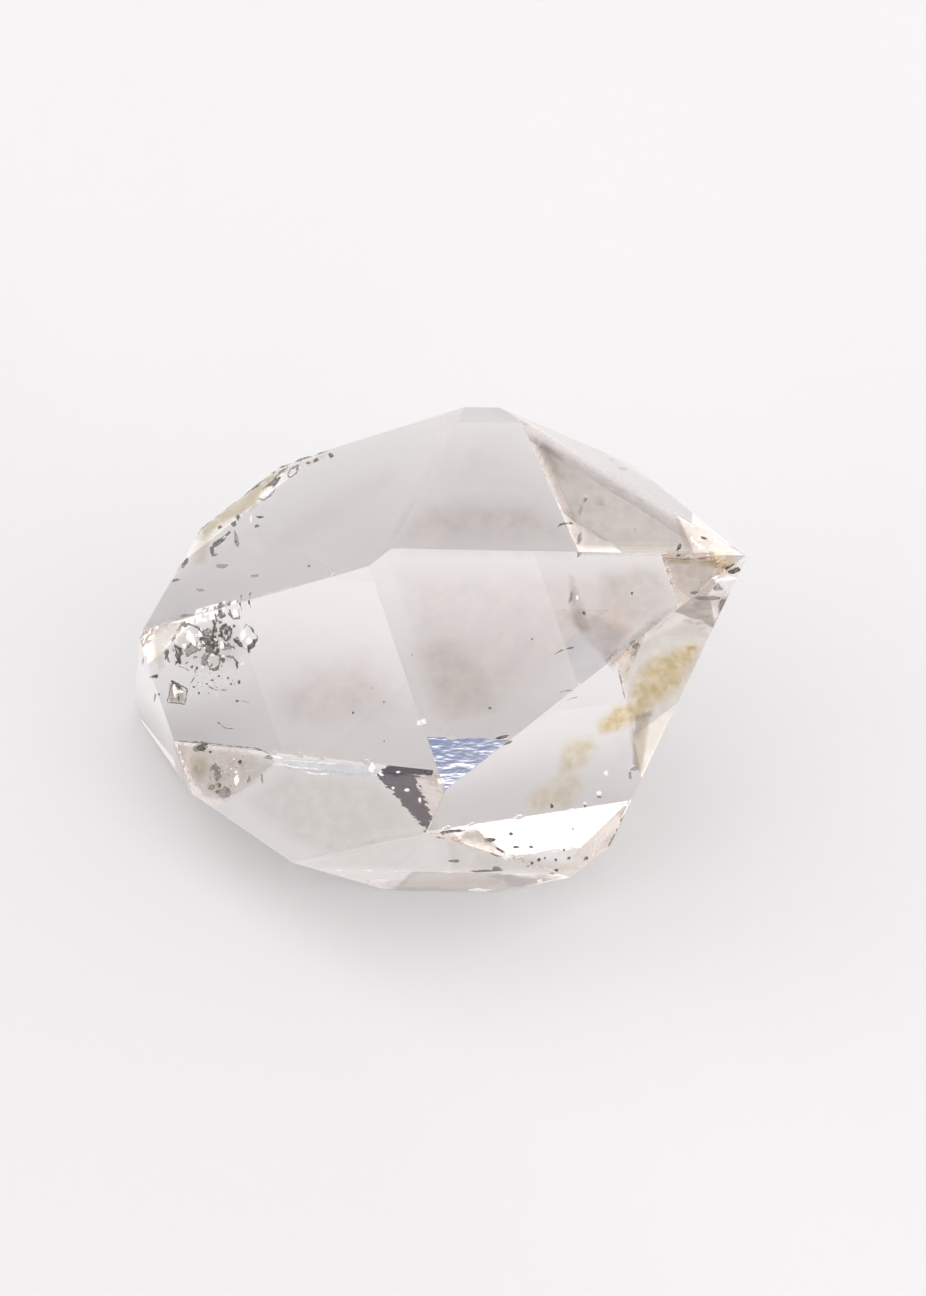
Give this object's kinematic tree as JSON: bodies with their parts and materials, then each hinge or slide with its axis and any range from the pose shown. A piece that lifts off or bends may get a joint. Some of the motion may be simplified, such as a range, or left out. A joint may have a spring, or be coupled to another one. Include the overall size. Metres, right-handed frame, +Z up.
{
  "type": "quartz crystal",
  "caption": "Clear doubly terminated quartz crystal, a herkimer diamond, faceted at both ends and lying on one of its faces with the pointed tip raised.",
  "frame": {"origin": "on the resting face, straight below the centre of mass", "axes": "+Z up, out of the resting face; +X to the right of the front view, roughly towards the raised tip; +Y away from the front view"},
  "size_m": [0.0162, 0.0126, 0.0112],
  "materials": {
    "clear_quartz": "polished"
  },
  "bodies": {
    "root": {"quartz_crystal": "clear_quartz"}
  },
  "joints": []
}
